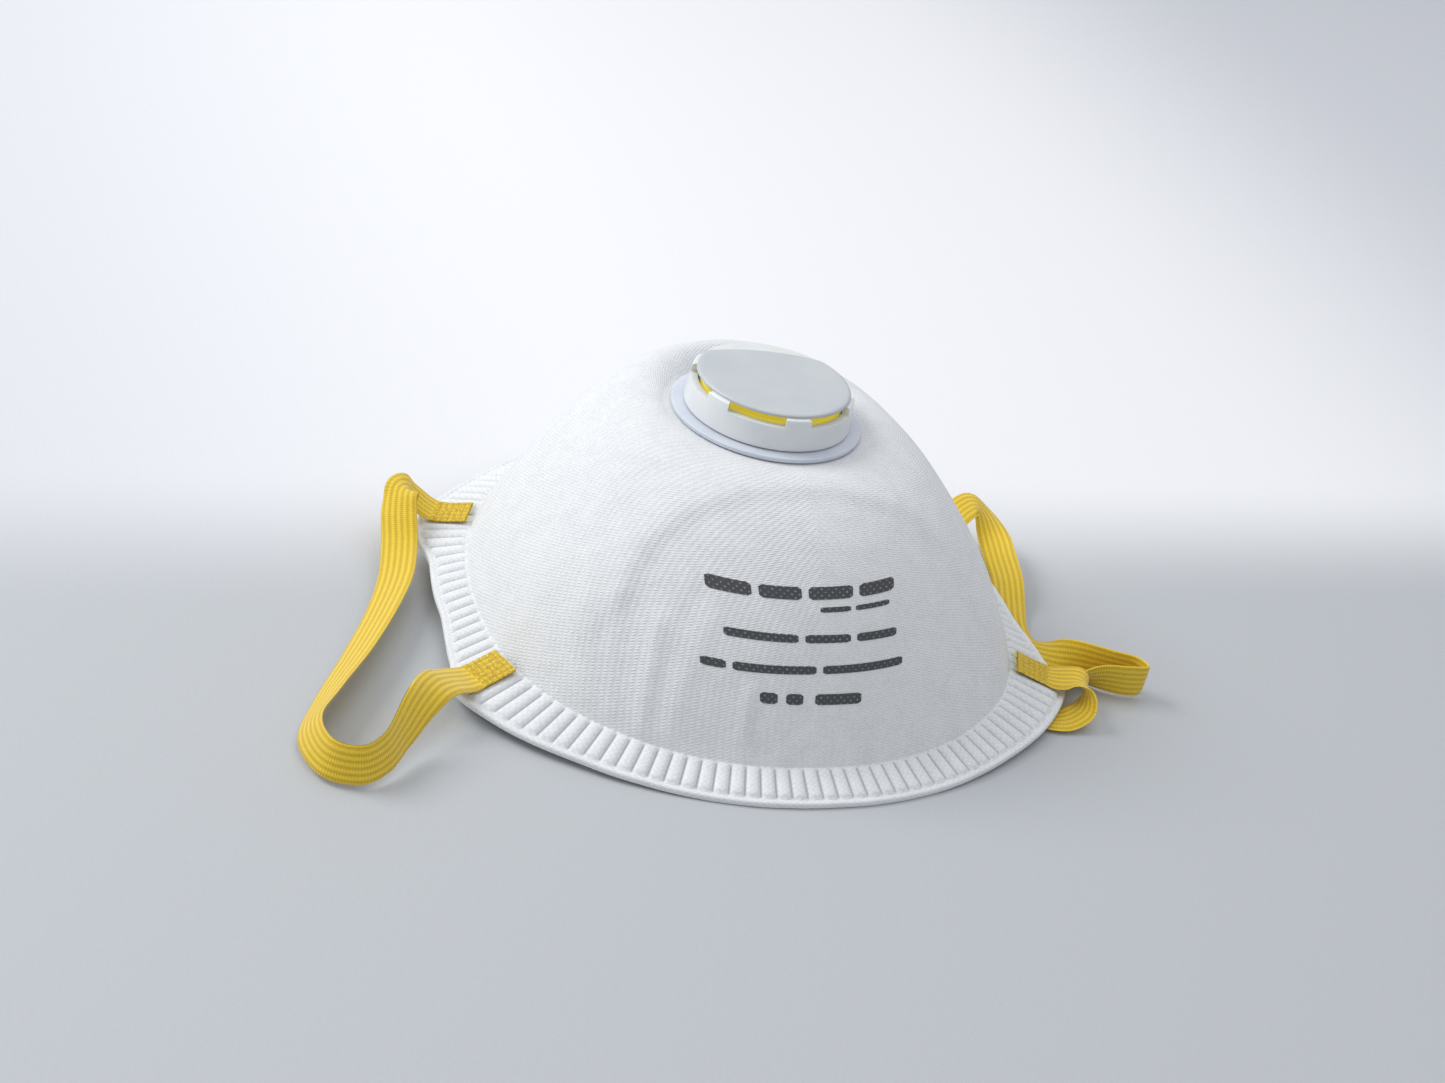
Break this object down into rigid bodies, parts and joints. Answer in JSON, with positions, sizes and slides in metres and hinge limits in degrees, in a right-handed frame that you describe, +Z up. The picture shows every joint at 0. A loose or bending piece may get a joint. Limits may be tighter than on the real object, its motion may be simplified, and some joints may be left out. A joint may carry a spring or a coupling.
{
  "type": "disposable dust mask",
  "caption": "Moulded cup-shaped disposable dust mask with a ribbed rim, a round exhale valve and elastic head straps, lying on its rim.",
  "frame": {"origin": "on the surface the mask lies on, below the middle of the rim", "axes": "+X to the wearer's left tabs, +Y from the chin to the nose, +Z up through the valve"},
  "size_m": [0.196, 0.1348, 0.0581],
  "materials": {
    "cover_fabric": "white embossed nonwoven",
    "filter_web": "soft white melt-blown web",
    "shell_felt": "stiff moulded felt",
    "lining_fabric": "smooth white nonwoven",
    "valve_plate": "translucent bluish white",
    "valve_cover": "satin pale grey",
    "flap_elastomer": "soft yellow",
    "nose_metal": "thin satin strip",
    "nose_foam": "soft closed-cell foam",
    "strap_elastic": "ribbed yellow woven elastic"
  },
  "bodies": {
    "mask": {"outer_cover": "cover_fabric", "inner_lining": "lining_fabric", "filter_layer_1": "filter_web", "filter_layer_2": "filter_web", "shaping_shell": "shell_felt", "valve_seat": "valve_plate", "valve_ring": "valve_plate", "valve_cap": "valve_cover", "nose_clip": "nose_metal", "nose_foam": "nose_foam", "strap_left": "strap_elastic", "strap_right": "strap_elastic"},
    "flap": {"valve_flap": "flap_elastomer"}
  },
  "joints": [
    {"name": "flap_lift", "type": "slide", "parent": "mask", "child": "flap", "axis": [0, 0.0175, 0.9998], "range_m": [0, 0.0012], "stiffness_N_per_m": 20}
  ]
}
